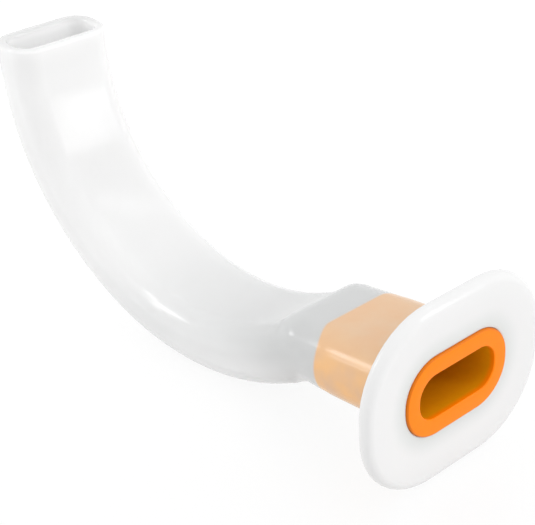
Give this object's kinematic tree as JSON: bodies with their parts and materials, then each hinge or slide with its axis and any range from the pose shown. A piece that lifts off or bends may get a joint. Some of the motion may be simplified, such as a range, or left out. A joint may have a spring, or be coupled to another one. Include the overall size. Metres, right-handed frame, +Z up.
{
  "type": "oropharyngeal airway",
  "caption": "Curved hollow airway with an oblong flange, a straight bite block lined by a coloured sleeve, and a throat tube that sweeps up to an open tip.",
  "frame": {"origin": "centre of the box's footprint on the surface that the airway rests on", "axes": "+Z up as it rests on the belly of its curve and the lower rim of its flange; +X towards the flange, where the mouth is; Y across, with the airway symmetric about the XZ plane"},
  "size_m": [0.0876, 0.033, 0.0413],
  "materials": {
    "milky_polyethylene": "translucent milky white, smooth moulded",
    "orange_polypropylene": "opaque orange, satin moulded"
  },
  "bodies": {
    "root": {"airway_tube": "milky_polyethylene", "bite_insert": "orange_polypropylene"}
  },
  "joints": []
}
